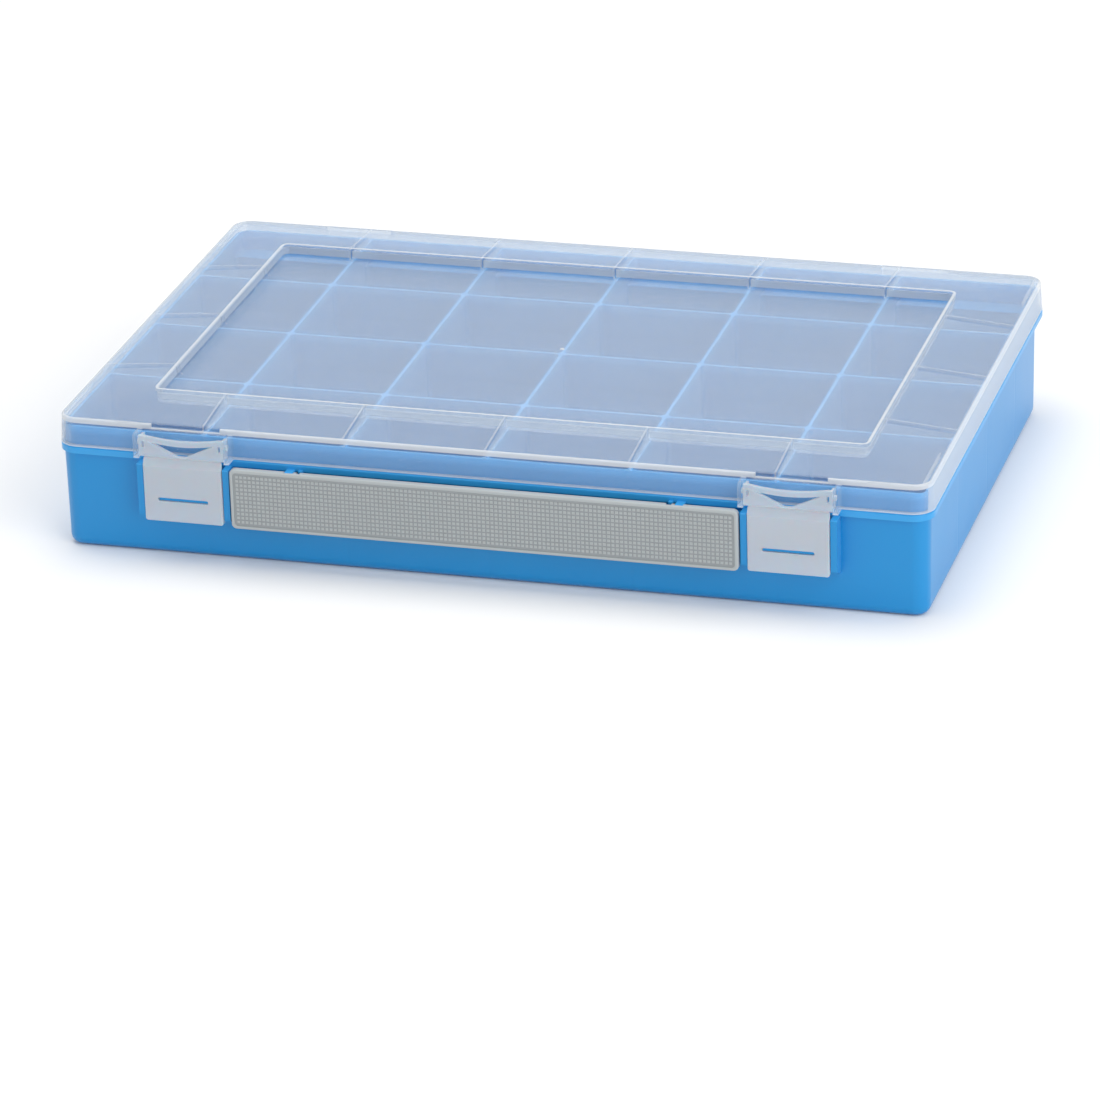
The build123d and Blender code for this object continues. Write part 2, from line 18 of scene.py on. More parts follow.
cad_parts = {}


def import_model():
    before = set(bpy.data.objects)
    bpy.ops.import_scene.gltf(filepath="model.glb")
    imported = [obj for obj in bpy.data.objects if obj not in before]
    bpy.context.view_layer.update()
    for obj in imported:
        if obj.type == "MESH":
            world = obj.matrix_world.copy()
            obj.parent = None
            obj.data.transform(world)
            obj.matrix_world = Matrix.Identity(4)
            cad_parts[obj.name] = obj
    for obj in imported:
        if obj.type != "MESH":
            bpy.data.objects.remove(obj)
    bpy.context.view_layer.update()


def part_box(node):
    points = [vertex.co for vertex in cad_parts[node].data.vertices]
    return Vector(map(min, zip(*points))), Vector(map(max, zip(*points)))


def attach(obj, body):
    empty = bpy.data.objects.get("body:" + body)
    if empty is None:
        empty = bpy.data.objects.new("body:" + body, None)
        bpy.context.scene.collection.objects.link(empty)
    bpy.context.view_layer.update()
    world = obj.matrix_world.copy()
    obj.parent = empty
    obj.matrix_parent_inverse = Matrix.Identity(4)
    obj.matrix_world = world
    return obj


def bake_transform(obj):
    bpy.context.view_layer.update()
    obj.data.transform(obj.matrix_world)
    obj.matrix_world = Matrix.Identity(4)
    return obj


LOG = logging.getLogger("storage_box")
MM = 0.001
Colour = Tuple[float, float, float, float]
Point = Tuple[float, float, float]

# Plain white, for light and for what the box stands in front of
WHITE: Colour = (1.0, 1.0, 1.0, 1.0)
# Distance in millimetres over which one tone of a finish fades into the next
FADE = 0.4
# Noise texture of the flow marks and the grain, and the span in which noise mostly lies
FLOW_DETAIL = 3.0
GRAIN_DETAIL = 2.0
NOISE_LOW, NOISE_HIGH = 0.3, 0.7

# Distance between the tray's dividers in millimetres, from front to back and from left to right
ROW_PITCH = 53.7
COLUMN_PITCH = 54.7


class Side(Enum):
    """The two ends of the front, by the sign of X."""

    LEFT = -1
    RIGHT = 1

    @property
    def word(self) -> str:
        """Name of the side as the nodes have it."""
        return self.name.lower()


def linear(hex_colour: str) -> Colour:
    """Turn an sRGB hex colour to linear light.

    Args:
        hex_colour: six hex digits with a leading hash.

    Returns:
        Linear red, green and blue, and an alpha of 1.
    """
    channels = [int(hex_colour[i:i + 2], 16) / 255 for i in (1, 3, 5)]
    values = [((c + 0.055) / 1.055) ** 2.4 if c > 0.04045 else c / 12.92 for c in channels]
    return (values[0], values[1], values[2], 1.0)


def add_node(tree: bpy.types.NodeTree, kind: str, links: Optional[Dict[Any, Any]] = None,
             **settings: Any) -> bpy.types.Node:
    """Add a node with its settings and inputs.

    Args:
        tree: node tree that gets the node.
        kind: type name of the node.
        links: input name or number to a socket, a node (its first output) or a plain value.
        settings: attributes of the node.

    Returns:
        The new node.
    """
    node = tree.nodes.new(kind)
    for name, value in settings.items():
        setattr(node, name, value)
    for key, value in (links or {}).items():
        if isinstance(value, bpy.types.Node):
            value = value.outputs[0]
        if isinstance(value, bpy.types.NodeSocket):
            tree.links.new(value, node.inputs[key])
        else:
            node.inputs[key].default_value = value
    return node


def empty_tree(owner: Any) -> bpy.types.NodeTree:
    """Give a material or the world an empty node tree.

    Args:
        owner: the material or the world.

    Returns:
        Its node tree.
    """
    owner.use_nodes = True
    owner.node_tree.nodes.clear()
    return owner.node_tree


def stand(name: str, data: bpy.types.ID) -> bpy.types.Object:
    """Put a new object at the origin of the scene.

    Args:
        name: name of the object.
        data: its mesh, light or camera.

    Returns:
        The object.
    """
    piece = bpy.data.objects.new(name, data)
    bpy.context.collection.objects.link(piece)
    return piece


@dataclass(frozen=True)
class Finish:
    """A moulded polypropylene surface, satin from the mould's fine grain.

    Sizes are in millimetres. The grain is drawn coarser than the real one,
    which is finer than a pixel.
    """

    name: str
    colour: str
    shade: str
    roughness: float
    roughness_spread: float = 0.08
    ior: float = 1.49
    transmission: float = 0.0
    subsurface: float = 0.0
    subsurface_depth: float = 2.0
    scatter: Point = (0.3, 0.8, 1.0)
    sheen: float = 0.0
    metallic: float = 0.0
    flow_size: float = 60.0
    grain_size: float = 0.9
    grain_depth: float = 0.01

    def start(self) -> Tuple[bpy.types.Material, bpy.types.NodeTree, bpy.types.Node, bpy.types.Node]:
        """Make the material with its shader and its coordinates in millimetres.

        Returns:
            The material, its tree, its shader and the node with the coordinates.
        """
        material = bpy.data.materials.new(self.name)
        tree = empty_tree(material)
        shader = add_node(tree, "ShaderNodeBsdfPrincipled", {
            "IOR": self.ior, "Transmission Weight": self.transmission, "Metallic": self.metallic,
            "Subsurface Weight": self.subsurface, "Subsurface Radius": self.scatter,
            "Subsurface Scale": self.subsurface_depth * MM,
            "Sheen Weight": self.sheen, "Sheen Roughness": self.roughness})
        add_node(tree, "ShaderNodeOutputMaterial", {"Surface": shader})
        coordinates = add_node(tree, "ShaderNodeTexCoord")
        place = add_node(tree, "ShaderNodeVectorMath", {0: coordinates.outputs["Object"], "Scale": 1 / MM},
                         operation="SCALE")
        return material, tree, shader, place

    def build(self) -> bpy.types.Material:
        """Make the plain finish: flow marks in colour and gloss, grain in bump.

        Returns:
            The finished material.
        """
        material, tree, shader, place = self.start()
        self.dress(tree, shader, place)
        return material

    def dress(self, tree: bpy.types.NodeTree, shader: bpy.types.Node,
              place: bpy.types.Node) -> bpy.types.Node:
        """Link flow marks and grain to the shader.

        Args:
            tree: the material's tree.
            shader: its Principled shader.
            place: node with the coordinates in millimetres.

        Returns:
            The Mix node that gives the colour, for a finish that changes it further.
        """
        flow = add_node(tree, "ShaderNodeTexNoise", {"Vector": place, "Scale": 1 / self.flow_size,
                                                     "Detail": FLOW_DETAIL})
        grain = add_node(tree, "ShaderNodeTexNoise", {"Vector": place, "Scale": 1 / self.grain_size,
                                                      "Detail": GRAIN_DETAIL})
        colour = add_node(tree, "ShaderNodeMix", {0: flow.outputs[0], 6: linear(self.colour),
                                                  7: linear(self.shade)}, data_type="RGBA")
        gloss = add_node(tree, "ShaderNodeMapRange", {"Value": flow.outputs[0],
                                                      "From Min": NOISE_LOW, "From Max": NOISE_HIGH,
                                                      "To Min": self.roughness - self.roughness_spread / 2,
                                                      "To Max": self.roughness + self.roughness_spread / 2})
        bump = add_node(tree, "ShaderNodeBump", {"Height": grain.outputs[0],
                                                 "Distance": self.grain_depth * MM, "Strength": 1.0})
        tree.links.new(colour.outputs[2], shader.inputs["Base Color"])
        tree.links.new(gloss.outputs[0], shader.inputs["Roughness"])
        tree.links.new(bump.outputs[0], shader.inputs["Normal"])
        return colour


@dataclass(frozen=True)
class Outline:
    """A rounded rectangle in plan, drawn as a line of a given half width, in millimetres."""

    half_width: float
    half_depth: float
    radius: float
    line: float

    def distance(self, tree: bpy.types.NodeTree, place: bpy.types.Node) -> bpy.types.Node:
        """Work out how far a point lies outside the outline, in plan.

        Args:
            tree: the material's tree.
            place: node with the coordinates in millimetres.

        Returns:
            The node that holds the distance, negative inside.
        """
        folded = add_node(tree, "ShaderNodeVectorMath", {0: place}, operation="ABSOLUTE")
        corner = (self.half_width - self.radius, self.half_depth - self.radius, 0.0)
        beyond = add_node(tree, "ShaderNodeVectorMath", {0: folded, 1: corner}, operation="SUBTRACT")
        flat = add_node(tree, "ShaderNodeVectorMath", {0: beyond, 1: (1.0, 1.0, 0.0)}, operation="MULTIPLY")
        outer = add_node(tree, "ShaderNodeVectorMath", {0: flat, 1: (0.0, 0.0, 0.0)}, operation="MAXIMUM")
        length = add_node(tree, "ShaderNodeVectorMath", {0: outer}, operation="LENGTH")
        return add_node(tree, "ShaderNodeMath", {0: length.outputs["Value"], 1: self.radius},
                        operation="SUBTRACT")


def past(tree: bpy.types.NodeTree, value: Any, start: float, width: float = FADE, before: float = 0.0,
         after: float = 1.0) -> bpy.types.Node:
    """Fade from one value to another as a distance from the middle grows past a place.

    Args:
        tree: the material's tree.
        value: socket or node with the distance, of either sign.
        start: distance at which the fade starts.
        width: how far the fade reaches.
        before: result nearer than the fade.
        after: result beyond the fade.

    Returns:
        The node that holds the result.
    """
    off = add_node(tree, "ShaderNodeMath", {0: value}, operation="ABSOLUTE")
    return add_node(tree, "ShaderNodeMapRange", {"Value": off, "From Min": start, "From Max": start + width,
                                                 "To Min": before, "To Max": after},
                    interpolation_type="SMOOTHSTEP")


@dataclass(frozen=True)
class TrayFinish(Finish):
    """Blue polypropylene of the tray, with painted highlights on its thin tops and faint sink lines.

    The divider tops and the outer edge of the flange under the lid are
    painted paler than the walls: a painted highlight where light from above
    falls on them and soaks into the thin plastic. A sink line runs down
    the outside of a wall wherever a divider meets it. Levels are heights over
    the floor, and wall_x and wall_y lie just inside the outer walls.
    """

    # Painted highlight colour of the divider tops and the flange's edge
    glow: str = "#3AA5E6"
    divider_top: float = 48.9
    painted_highlight_depth: float = 4.0
    flange_reach: float = 1.5
    flange_levels: Tuple[float, float] = (38.2, 41.3)
    flange_share: float = 0.7
    wall_x: float = 163.5
    wall_y: float = 104.5
    sink_half_width: float = 1.4
    sink_depth: float = 0.05

    def build(self) -> bpy.types.Material:
        """Make the tray's finish.

        Returns:
            The finished material.
        """
        material, tree, shader, place = self.start()
        colour = self.dress(tree, shader, place)
        axes = add_node(tree, "ShaderNodeSeparateXYZ", {0: place}).outputs
        # Painted highlight: the divider tops and the flange's edge fade to the paler colour
        tops = past(tree, axes["Z"], self.divider_top - self.painted_highlight_depth, self.painted_highlight_depth)
        lit = add_node(tree, "ShaderNodeMath", {0: tops, 1: self.flange(tree, axes)}, operation="MAXIMUM")
        pale = add_node(tree, "ShaderNodeMix", {0: lit, 6: colour.outputs[2], 7: linear(self.glow)},
                        data_type="RGBA")
        tree.links.new(pale.outputs[2], shader.inputs["Base Color"])
        side = self.sink(tree, axes["X"], self.wall_x, axes["Y"], ROW_PITCH)
        front = self.sink(tree, axes["Y"], self.wall_y, axes["X"], COLUMN_PITCH)
        both = add_node(tree, "ShaderNodeMath", {0: side, 1: front}, operation="ADD")
        grain = shader.inputs["Normal"].links[0].from_node
        sunk = add_node(tree, "ShaderNodeBump", {"Height": both, "Distance": self.sink_depth * MM,
                                                 "Strength": 1.0, "Normal": grain}, invert=True)
        tree.links.new(sunk.outputs[0], shader.inputs["Normal"])
        return material

    def flange(self, tree: bpy.types.NodeTree, axes: Any) -> bpy.types.Node:
        """Mark the outer edge of the thin flange under the lid, which gets a painted highlight.

        Args:
            tree: the material's tree.
            axes: outputs that hold X, Y and Z in millimetres.

        Returns:
            The node that is above 0 on the flange's edge and 0 away from it.
        """
        side = past(tree, axes["X"], self.wall_x + self.flange_reach)
        end = past(tree, axes["Y"], self.wall_y + self.flange_reach)
        outer = add_node(tree, "ShaderNodeMath", {0: side, 1: end}, operation="MAXIMUM")
        low, high = self.flange_levels
        above = past(tree, axes["Z"], low, after=self.flange_share)
        below = past(tree, axes["Z"], high, before=1.0, after=0.0)
        level = add_node(tree, "ShaderNodeMath", {0: above, 1: below}, operation="MULTIPLY")
        return add_node(tree, "ShaderNodeMath", {0: outer, 1: level}, operation="MULTIPLY")

    def sink(self, tree: bpy.types.NodeTree, across: Any, wall: float, along: Any,
             pitch: float) -> bpy.types.Node:
        """Mark the lines where dividers meet the outside of a wall.

        Args:
            tree: the material's tree.
            across: coordinate square to the wall.
            wall: distance from the middle to just inside the wall.
            along: coordinate along the wall.
            pitch: distance between dividers.

        Returns:
            The node that is 1 on a line and 0 away from it.
        """
        outside = past(tree, across, wall)
        nearest = add_node(tree, "ShaderNodeMath", {0: along, 1: pitch / 2}, operation="PINGPONG")
        line = past(tree, nearest, 0.0, self.sink_half_width, before=1.0, after=0.0)
        return add_node(tree, "ShaderNodeMath", {0: outside, 1: line}, operation="MULTIPLY")


@dataclass(frozen=True)
class GripFinish(Finish):
    """Grey polypropylene of the handle, with painted shade in the grooves between the squares of its grip.

    Little light gets down between the squares, so the grooves have a painted shade.
    The field is the recess that holds the squares. Its floor lies floor_depth in front of
    the middle of the box, and field_middle is the height of the field's middle.
    """

    # Painted shade of the groove floor
    groove_shade: str = "#969C9F"
    field_half_width: float = 95.9
    field_half_height: float = 10.6
    field_middle: float = 27.95
    floor_depth: float = 114.85
    floor_reach: float = 0.05

    def build(self) -> bpy.types.Material:
        """Make the handle's finish.

        Returns:
            The finished material.
        """
        material, tree, shader, place = self.start()
        colour = self.dress(tree, shader, place)
        axes = add_node(tree, "ShaderNodeSeparateXYZ", {0: place}).outputs
        rise = add_node(tree, "ShaderNodeMath", {0: axes["Z"], 1: self.field_middle}, operation="SUBTRACT")
        off_floor = add_node(tree, "ShaderNodeMath", {0: axes["Y"], 1: self.floor_depth}, operation="ADD")
        mask = past(tree, off_floor, self.floor_reach, self.floor_reach, before=1.0, after=0.0)
        for value, half in ((axes["X"], self.field_half_width), (rise, self.field_half_height)):
            inside = past(tree, value, half, before=1.0, after=0.0)
            mask = add_node(tree, "ShaderNodeMath", {0: mask, 1: inside}, operation="MULTIPLY")
        # Painted shade on the groove floor, where little light gets down
        mixed = add_node(tree, "ShaderNodeMix", {0: mask, 6: colour.outputs[2], 7: linear(self.groove_shade)},
                         data_type="RGBA")
        tree.links.new(mixed.outputs[2], shader.inputs["Base Color"])
        return material


@dataclass(frozen=True)
class HazyFinish(Finish):
    """Natural polypropylene: a milky haze that thickens where the wall is seen edge on.

    The haze is the share of each surface that hides what lies behind it. It
    grows at a slant, along the lid's outer edge and along its raised ridge,
    because more plastic lies in the line of sight there. Along the edge and
    the ridge the colour is also whiter: partly the thick plastic, partly a
    painted highlight of the rounded edges. Haze turns light
    aside rather than stopping it, so a shadow takes only part of it. Above
    thin_level, where a latch is thinner, the haze is haze_thin. The hem is
    the lid's lower edge, a skirt is its outer wall at a side or the back, a
    rib lies under the border, and the gate is the mark in the panel's middle
    where the plastic was let in. Each share says how strong its mark is.
    """

    haze: float = 0.2
    haze_slanted: float = 0.45
    haze_edge: float = 0.72
    haze_thin: float = 0.48
    thin_level: Optional[float] = None
    edges: Tuple[Outline, ...] = ()
    # Whiter colour of thick plastic, and partly a painted highlight along the edges
    edge_and_highlight_colour: str = "#D9DEE2"
    edge_level: float = 50.9
    hem_level: float = 42.2
    hem_share: float = 0.7
    side_skirt: float = 165.4
    side_share: float = 0.5
    back_skirt: float = 107.3
    back_share: float = 0.6
    rib_share: float = 0.5
    rib_half: float = 0.6
    rib_start: float = 2.5
    gate: Point = (0.0, 0.0, 50.9)
    gate_radius: float = 1.0
    gate_ring: float = 3.2
    gate_ring_half: float = 0.35
    gate_ring_share: float = 0.3
    light_share: float = 0.35

    def build(self) -> bpy.types.Material:
        """Make the hazy finish.

        Returns:
            The finished material.
        """
        material, tree, shader, place = self.start()
        colour = self.dress(tree, shader, place)
        axes = add_node(tree, "ShaderNodeSeparateXYZ", {0: place}).outputs
        facing = add_node(tree, "ShaderNodeLayerWeight")
        haze = past(tree, facing.outputs["Facing"], 0.0, 1.0, self.haze, self.haze_slanted)
        if self.thin_level is not None:
            thin = past(tree, axes["Z"], self.thin_level)
            haze = add_node(tree, "ShaderNodeMix", {0: thin, 2: haze, 3: self.haze_thin})
        if self.edges:
            mask = self.thick_and_highlight_mask(tree, place, axes)
            # Whiter where the plastic is thick, and partly a painted highlight along the rounded edges
            edge_and_highlight_tint = add_node(tree, "ShaderNodeMix", {0: mask, 6: colour.outputs[2],
                                                    7: linear(self.edge_and_highlight_colour)}, data_type="RGBA")
            tree.links.new(edge_and_highlight_tint.outputs[2], shader.inputs["Base Color"])
            haze = add_node(tree, "ShaderNodeMix", {0: mask, 2: haze, 3: self.haze_edge})
            clear = add_node(tree, "ShaderNodeMapRange", {"Value": mask, "To Min": self.transmission,
                                                          "To Max": 0.0})
            tree.links.new(clear.outputs[0], shader.inputs["Transmission Weight"])
        path = add_node(tree, "ShaderNodeLightPath")
        passed = add_node(tree, "ShaderNodeMapRange", {"Value": path.outputs["Is Shadow Ray"],
                                                       "To Min": 1.0, "To Max": self.light_share})
        cover = add_node(tree, "ShaderNodeMath", {0: haze, 1: passed}, operation="MULTIPLY")
        tree.links.new(cover.outputs[0], shader.inputs["Alpha"])
        return material

    def thick_and_highlight_mask(self, tree: bpy.types.NodeTree, place: bpy.types.Node, axes: Any) -> bpy.types.Node:
        """Mark where the plastic is thick in the line of sight: edges, hem, ribs, hinge straps and gate;
        the edges also carry a painted highlight.

        Args:
            tree: the material's tree.
            place: node with the coordinates in millimetres.
            axes: outputs that hold X, Y and Z in millimetres.

        Returns:
            The node that is 1 on an edge and 0 away from it.
        """
        high_up = past(tree, axes["Z"], self.edge_level - FADE)
        to_back = add_node(tree, "ShaderNodeMath", {0: axes["Y"], 1: 0.0}, operation="MAXIMUM")
        spots = [past(tree, axes["X"], self.side_skirt, after=self.side_share),
                 past(tree, to_back, self.back_skirt, after=self.back_share)]
        # Lines along the outer edge and the ridge: thick plastic, and partly a painted highlight of the
        # rounded edge
        for outline in self.edges:
            near = past(tree, outline.distance(tree, place), outline.line - FADE, before=1.0, after=0.0)
            spots.append(add_node(tree, "ShaderNodeMath", {0: near, 1: high_up}, operation="MULTIPLY"))
        ridge = self.edges[-1]
        for along, pitch, across, start in (("X", COLUMN_PITCH, "Y", ridge.half_depth),
                                            ("Y", ROW_PITCH, "X", ridge.half_width)):
            line = self.rib_line(tree, axes[along], pitch, axes[across], start)
            spots.append(add_node(tree, "ShaderNodeMath", {0: line, 1: high_up}, operation="MULTIPLY"))
        away = add_node(tree, "ShaderNodeVectorMath", {0: place, 1: self.gate},
                        operation="DISTANCE").outputs["Value"]
        ring_off = add_node(tree, "ShaderNodeMath", {0: away, 1: self.gate_ring}, operation="SUBTRACT")
        spots += [past(tree, away, self.gate_radius - FADE / 2, before=1.0, after=0.0),
                  past(tree, ring_off, 0.0, self.gate_ring_half, before=self.gate_ring_share, after=0.0)]
        mask = past(tree, axes["Z"], self.hem_level - FADE, before=self.hem_share, after=0.0)
        for spot in spots:
            mask = add_node(tree, "ShaderNodeMath", {0: mask, 1: spot}, operation="MAXIMUM")
        return mask

    def rib_line(self, tree: bpy.types.NodeTree, along: Any, pitch: float, across: Any,
                 ridge: float) -> bpy.types.Node:
        """Mark the ribs under the border, which lie in line with the dividers.

        Args:
            tree: the material's tree.
            along: coordinate along the ridge.
            pitch: distance between ribs.
            across: coordinate square to the ridge.
            ridge: distance of the ridge from the middle.

        Returns:
            The node that is above 0 on a rib and 0 away from it.
        """
        nearest = add_node(tree, "ShaderNodeMath", {0: along, 1: pitch / 2}, operation="PINGPONG")
        line = past(tree, nearest, self.rib_half - FADE, before=self.rib_share, after=0.0)
        outside = past(tree, across, ridge - self.rib_start)
        return add_node(tree, "ShaderNodeMath", {0: line, 1: outside}, operation="MULTIPLY")


# Injection-moulded polypropylene, coloured through: a soft satin blue whose thin edges let light soak in
BLUE_PP = TrayFinish("moulded_blue_polypropylene", "#0688CB", "#0C8ED0", roughness=0.34, subsurface=0.08,
                     sheen=0.15)
# The lid's outer edge and the ridge round its recessed panel; the ridge comes last
LID_EDGES = (Outline(166.75, 108.25, 7.25, line=1.0), Outline(137.5, 79.25, 2.6, line=0.8))
# Natural polypropylene from a polished mould: uncoloured, smooth and hazy, clearest seen square on. Its
# pale blue colour is painted light: the tray's blue scattered up through the haze.
CLEAR_PP = HazyFinish("natural_clear_polypropylene", "#CADDEE", "#D2E4F4", roughness=0.24,
                      transmission=0.4, roughness_spread=0.06, grain_depth=0.001, edges=LID_EDGES)
# The same, 2 mm thick from a blasted mould: milky and matt, so what lies behind it only shines through
MILKY_PP = HazyFinish("natural_milky_polypropylene", "#CFD6DD", "#D5DBE1", roughness=0.38, subsurface=0.8,
                      haze=0.62, haze_slanted=0.7, grain_depth=0.006, thin_level=41.6)
# Grey coloured polypropylene from an etched mould: dull, with no clear reflections
GREY_PP = GripFinish("moulded_grey_polypropylene", "#A9AFB1", "#B0B6B8", roughness=0.5, subsurface=0.05)
# Drawn steel wire: bright bare metal with a fine drawn grain that blurs its reflections a little
PIN_STEEL = Finish("drawn_steel_wire", "#B4B7BA", "#BEC0C2", roughness=0.3, metallic=1.0, ior=1.5,
                   grain_size=0.3, grain_depth=0.003)


@dataclass
class Handle:
    """Carry handle with its grip pattern of small raised squares; sizes in millimetres."""

    node: str = "handle"
    body: str = "handle"
    border: float = 1.3
    recess: float = 0.35
    pitch: float = 1.64
    pad: float = 1.22
    pad_top: float = 0.96
    pad_height: float = 0.28
    pad_corners: int = 4
    sunk: float = 0.05

    def grid_tree(self, material: bpy.types.Material) -> bpy.types.NodeTree:
        """Build the node tree that lays raised squares on a grid.

        Args:
            material: finish of the squares.

        Returns:
            The node group.
        """
        tree = bpy.data.node_groups.new("grip_squares", "GeometryNodeTree")
        sizes = (("Columns", "NodeSocketInt"), ("Rows", "NodeSocketInt"), ("Width", "NodeSocketFloat"),
                 ("Height", "NodeSocketFloat"), ("Pad", "NodeSocketFloat"), ("Pad Top", "NodeSocketFloat"),
                 ("Pad Height", "NodeSocketFloat"), ("Place", "NodeSocketVector"))
        for name, kind in sizes:
            tree.interface.new_socket(name, in_out="INPUT", socket_type=kind)
        tree.interface.new_socket("Geometry", in_out="OUTPUT", socket_type="NodeSocketGeometry")
        given = add_node(tree, "NodeGroupInput").outputs
        grid = add_node(tree, "GeometryNodeMeshGrid", {"Size X": given["Width"], "Size Y": given["Height"],
                                                       "Vertices X": given["Columns"],
                                                       "Vertices Y": given["Rows"]})
        square = add_node(tree, "GeometryNodeMeshCone", {"Vertices": self.pad_corners,
                                                         "Radius Bottom": given["Pad"],
                                                         "Radius Top": given["Pad Top"],
                                                         "Depth": given["Pad Height"]})
        turned = add_node(tree, "GeometryNodeTransform", {"Geometry": square,
                                                          "Rotation": (0, 0, math.pi / self.pad_corners)})
        pads = add_node(tree, "GeometryNodeInstanceOnPoints", {"Points": grid, "Instance": turned})
        standing = add_node(tree, "GeometryNodeTransform", {"Geometry": pads,
                                                            "Rotation": (math.pi / 2, 0, 0),
                                                            "Translation": given["Place"]})
        real = add_node(tree, "GeometryNodeRealizeInstances", {"Geometry": standing})
        dressed = add_node(tree, "GeometryNodeSetMaterial", {"Geometry": real, "Material": material})
        add_node(tree, "NodeGroupOutput", {"Geometry": dressed})
        return tree

    def grip(self, material: bpy.types.Material) -> bpy.types.Object:
        """Make the grip pattern on the handle's front.

        Args:
            material: finish of the squares.

        Returns:
            The pattern as one plain mesh.
        """
        low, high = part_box(self.node)
        field_width = (high[0] - low[0]) / MM - 2 * self.border
        field_height = (high[2] - low[2]) / MM - 2 * self.border
        columns = int(field_width / self.pitch)
        rows = int(field_height / self.pitch)
        root = low[1] + (self.recess + self.sunk) * MM
        place = (0.0, root, (low[2] + high[2]) / 2)
        corner = math.sqrt(0.5) * MM
        values = {"Columns": columns, "Rows": rows, "Width": (columns - 1) * self.pitch * MM,
                  "Height": (rows - 1) * self.pitch * MM, "Pad": self.pad * corner,
                  "Pad Top": self.pad_top * corner, "Pad Height": self.pad_height * MM, "Place": place}
        return from_tree("handle_grip", self.grid_tree(material), values)

    def build(self, material: bpy.types.Material) -> None:
        """Dress the handle and add its grip.

        Args:
            material: finish of the handle.
        """
        dress_node(self.node, material)
        grip = self.grip(material)
        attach(grip, self.body)
        faces_each = self.pad_corners + 2
        LOG.info("handle with %d grip squares", len(grip.data.polygons) // faces_each)


def from_tree(name: str, tree: bpy.types.NodeTree, values: Dict[str, Any]) -> bpy.types.Object:
    """Run a geometry node tree and keep its result as a plain mesh.

    Args:
        name: name of the new object.
        tree: the node group.
        values: input name to value.

    Returns:
        An object at the origin that holds the mesh.
    """
    carrier = stand(name + "_tree", bpy.data.meshes.new(name + "_seed"))
    modifier = carrier.modifiers.new("tree", "NODES")
    modifier.node_group = tree
    for item in tree.interface.items_tree:
        if item.in_out == "INPUT" and item.name in values:
            modifier[item.identifier] = values[item.name]
    bpy.context.view_layer.update()
    shown = carrier.evaluated_get(bpy.context.evaluated_depsgraph_get())
    mesh = bpy.data.meshes.new_from_object(shown)
    mesh.name = name
    bpy.data.objects.remove(carrier)
    return stand(name, mesh)


def dress_node(node: str, material: bpy.types.Material) -> None:
    """Give a node of the frame its finish.

    Args:
        node: name of the node.
        material: the finish.
    """
    piece = bpy.data.objects[node]
    for place in piece.material_slots:
        place.material = material
    LOG.info("%s wears %s", node, material.name)


@dataclass
class Latch:
    """One latch: an anchor on the lid, a swinging flap and the film between them; sizes in millimetres."""

    side: Side
    film_thickness: float = 0.3
    film_overlap: float = 0.5
    film_side: float = 0.3
    steps: int = 8

    def film(self, material: bpy.types.Material) -> bpy.types.Object:
        """Make the film hinge, a thin strip between the anchor and the flap.

        Args:
            material: finish of the film.

        Returns:
            The film strip.
        """
        flap_low, flap_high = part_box(f"latch_flap_{self.side.word}")
        anchor_low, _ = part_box(f"latch_anchor_{self.side.word}")
        back = flap_high[1]
        front = back - self.film_thickness * MM
        left = flap_low[0] + self.film_side * MM
        right = flap_high[0] - self.film_side * MM
        bottom = flap_high[2] - self.film_overlap * MM
        top = anchor_low[2] + self.film_overlap * MM
        mesh = bmesh.new()
        rings: List[List[bmesh.types.BMVert]] = []
        for step in range(self.steps + 1):
            level = bottom + (top - bottom) * step / self.steps
            rings.append([mesh.verts.new(p) for p in ((left, front, level), (right, front, level),
                                                      (right, back, level), (left, back, level))])
        for lower, upper in zip(rings, rings[1:]):
            for corners in zip(lower, lower[1:] + lower[:1], upper[1:] + upper[:1], upper):
                mesh.faces.new(corners)
        mesh.faces.new(rings[0][::-1])
        mesh.faces.new(rings[-1])
        bmesh.ops.recalc_face_normals(mesh, faces=mesh.faces)
        name = f"latch_film_{self.side.word}"
        data = bpy.data.meshes.new(name)
        mesh.to_mesh(data)
        mesh.free()
        data.materials.append(material)
        piece = stand(name, data)
        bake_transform(piece)
        return piece

    def build(self, material: bpy.types.Material) -> None:
        """Dress the latch and add its film.

        Args:
            material: finish of the latch.
        """
        dress_node(f"latch_anchor_{self.side.word}", material)
        dress_node(f"latch_flap_{self.side.word}", material)
        piece = self.film(material)
        LOG.info("%s bends between the lid and its flap", piece.name)


@dataclass(frozen=True)
class Lamp:
    """One soft square lamp; lengths in metres, power in watts."""

    name: str
    place: Point
    target: Point
    size: float
    power: float

    def hang(self) -> None:
        """Hang the lamp, facing its target."""
        data = bpy.data.lights.new(self.name, "AREA")
        data.size = self.size
        data.energy = self.power
        lamp = stand(self.name, data)
        turn = (Vector(self.target) - Vector(self.place)).to_track_quat("-Z", "Y").to_matrix().to_4x4()
        lamp.matrix_world = Matrix.Translation(self.place) @ turn


# A large soft lamp in front on the right, and one above
LAMPS = (Lamp("key", (1.5, -0.9, 1.1), (0.0, 0.0, 0.03), size=1.8, power=19.0),
         Lamp("top", (-0.3, 0.4, 2.0), (0.0, 0.0, 0.03), size=1.6, power=18.0))


def in_sight(tree: bpy.types.NodeTree) -> bpy.types.Node:
    """Tell apart what is looked at, also in a reflection or through the lid, from what only lights the box.

    Args:
        tree: the tree of the world or of the floor's material.

    Returns:
        The node that is 1 for a surface that is looked at and 0 for one that only gives light.
    """
    path = add_node(tree, "ShaderNodeLightPath").outputs
    direct = add_node(tree, "ShaderNodeMath", {0: path["Is Camera Ray"], 1: path["Is Glossy Ray"]},
                      operation="MAXIMUM")
    return add_node(tree, "ShaderNodeMath", {0: direct, 1: path["Is Transmission Ray"]},
                    operation="MAXIMUM")


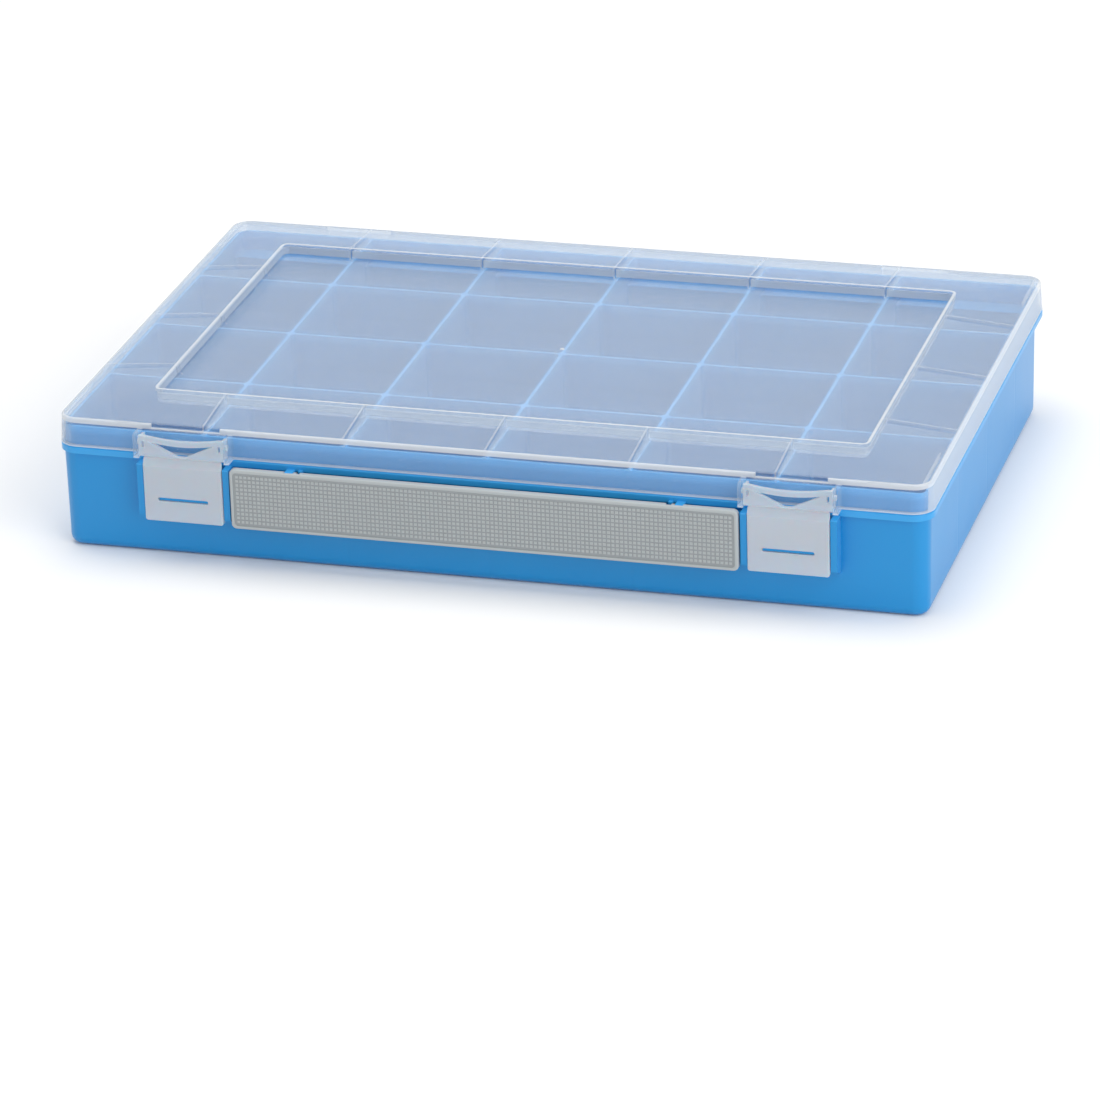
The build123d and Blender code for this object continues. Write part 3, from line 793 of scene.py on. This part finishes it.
@dataclass
class Studio:
    """White floor, soft light and the camera; lengths in metres, angles in degrees."""

    floor_size: float = 12.0
    floor_colour: str = "#F6F6F6"
    floor_near: float = 0.8
    world_strength: float = 0.67
    focal_pixels: float = 5718.0
    image_pixels: float = 1100.0
    sensor: float = 36.0
    azimuth: float = 16.15
    elevation: float = 23.55
    roll: float = -1.75
    camera_place: Point = (0.56135, -1.96366, 0.85707)
    far_end: float = 50.0

    def camera(self) -> None:
        """Stand the camera where the photograph was taken from."""
        az, el, roll = (math.radians(a) for a in (self.azimuth, self.elevation, self.roll))
        back = Vector((math.sin(az) * math.cos(el), -math.cos(az) * math.cos(el), math.sin(el)))
        right = Vector((math.cos(az), math.sin(az), 0.0))
        up = back.cross(right)
        across = right * math.cos(roll) + up * math.sin(roll)
        upward = up * math.cos(roll) - right * math.sin(roll)
        data = bpy.data.cameras.new("camera")
        data.sensor_width = self.sensor
        data.lens = self.focal_pixels / self.image_pixels * self.sensor
        data.clip_end = self.far_end
        camera = stand("camera", data)
        turn = Matrix((across, upward, back)).transposed().to_4x4()
        camera.matrix_world = Matrix.Translation(self.camera_place) @ turn
        bpy.context.scene.camera = camera

    def world(self) -> None:
        """Light the scene from all round, and show plain white behind it."""
        world = bpy.data.worlds.new("studio")
        bpy.context.scene.world = world
        tree = empty_tree(world)
        strength = add_node(tree, "ShaderNodeMapRange", {"Value": in_sight(tree),
                                                         "To Min": self.world_strength, "To Max": 1.0})
        light = add_node(tree, "ShaderNodeBackground", {"Color": WHITE, "Strength": strength})
        add_node(tree, "ShaderNodeOutputWorld", {"Surface": light})

    def floor(self) -> None:
        """Lay the pale floor, which turns to plain white far from the box."""
        mesh = bpy.data.meshes.new("floor")
        half = self.floor_size / 2
        corners = [(-half, -half, 0), (half, -half, 0), (half, half, 0), (-half, half, 0)]
        mesh.from_pydata(corners, [], [(0, 1, 2, 3)])
        # Matt white paper: no gloss, so it shows only the box's soft shadow
        material = bpy.data.materials.new("floor_paper")
        tree = empty_tree(material)
        paper = add_node(tree, "ShaderNodeBsdfDiffuse", {"Color": linear(self.floor_colour)})
        glow = add_node(tree, "ShaderNodeEmission", {"Color": WHITE, "Strength": 1.0})
        place = add_node(tree, "ShaderNodeTexCoord").outputs["Object"]
        away = add_node(tree, "ShaderNodeVectorMath", {0: place}, operation="LENGTH")
        distant = past(tree, away.outputs["Value"], self.floor_near, self.floor_near)
        share = add_node(tree, "ShaderNodeMath", {0: distant, 1: in_sight(tree)}, operation="MULTIPLY")
        mixed = add_node(tree, "ShaderNodeMixShader", {0: share, 1: paper, 2: glow})
        add_node(tree, "ShaderNodeOutputMaterial", {"Surface": mixed})
        mesh.materials.append(material)
        stand("floor", mesh)

    def build(self) -> None:
        """Set up the camera, the floor and the light."""
        bpy.context.scene.view_settings.view_transform = "Standard"
        self.camera()
        self.floor()
        self.world()
        for lamp in LAMPS:
            lamp.hang()
        LOG.info("studio is ready")


def main() -> None:
    """Build every piece in order and note the sizes."""
    logging.basicConfig(level=logging.INFO, format="%(name)s: %(message)s")
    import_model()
    blue, clear, milky, grey, steel = (f.build() for f in (BLUE_PP, CLEAR_PP, MILKY_PP, GREY_PP, PIN_STEEL))
    dress_node("tray", blue)
    dress_node("lid", clear)
    for side in Side:
        Latch(side).build(milky)
        dress_node(f"hinge_pin_{side.word}", steel)
    Handle().build(grey)
    Studio().build()


if __name__ == "__main__":
    main()
